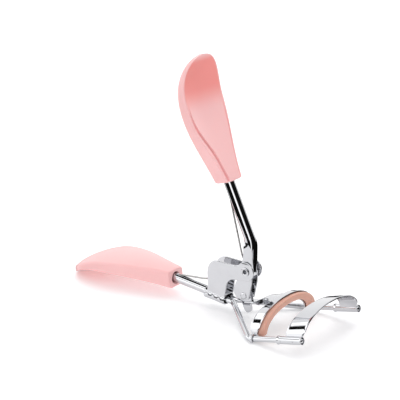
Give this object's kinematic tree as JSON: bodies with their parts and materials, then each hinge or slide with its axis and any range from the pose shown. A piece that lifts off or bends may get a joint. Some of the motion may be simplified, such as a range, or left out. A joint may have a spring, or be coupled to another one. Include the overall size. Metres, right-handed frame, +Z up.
{
  "type": "eyelash curler",
  "caption": "Hand-held eyelash curler: moulded thumb grips on a sprung lever and arm, with an arched moving jaw that slides on guide rods to close its soft pad on a fixed jaw.",
  "frame": {"origin": "on the table plane, under the middle of the open tool's bounding box", "axes": "+X from the lower grip to the jaws, +Y across the jaws, +Z up from the table"},
  "size_m": [0.1088, 0.0374, 0.0896],
  "materials": {
    "grip_plastic": "smooth satin moulded plastic, pale baby pink",
    "chrome": "bright mirror plating on pressed steel",
    "pad_silicone": "soft matt silicone, salmon tan",
    "spring_steel": "drawn spring wire, bright"
  },
  "bodies": {
    "frame": {"lower_grip": "grip_plastic", "lower_arm": "chrome", "pivot_bracket": "chrome", "pivot_rivet": "chrome", "guide_wire_left": "chrome", "guide_wire_right": "chrome", "fixed_jaw": "chrome", "spring_coil": "spring_steel"},
    "lever": {"upper_grip": "grip_plastic", "upper_lever": "chrome", "link_pin": "chrome", "spring_upper_leg": "spring_steel"},
    "carriage": {"moving_jaw": "chrome", "lash_pad": "pad_silicone"}
  },
  "joints": [
    {"name": "lever_hinge", "type": "hinge", "parent": "frame", "child": "lever", "pos_m": [0.02077, 0, 0.0171], "axis": [0, -1, 0], "range_deg": [0, 60], "stiffness_Nm_per_rad": 0.02, "springref_deg": -20.05},
    {"name": "jaw_slide", "type": "slide", "parent": "frame", "child": "carriage", "axis": [0.9759, 0, 0.2181], "range_m": [0, 0.00915]}
  ],
  "couplings": [
    {"joint": "jaw_slide", "follows": "lever_hinge", "m_per_rad": 0.008732}
  ]
}
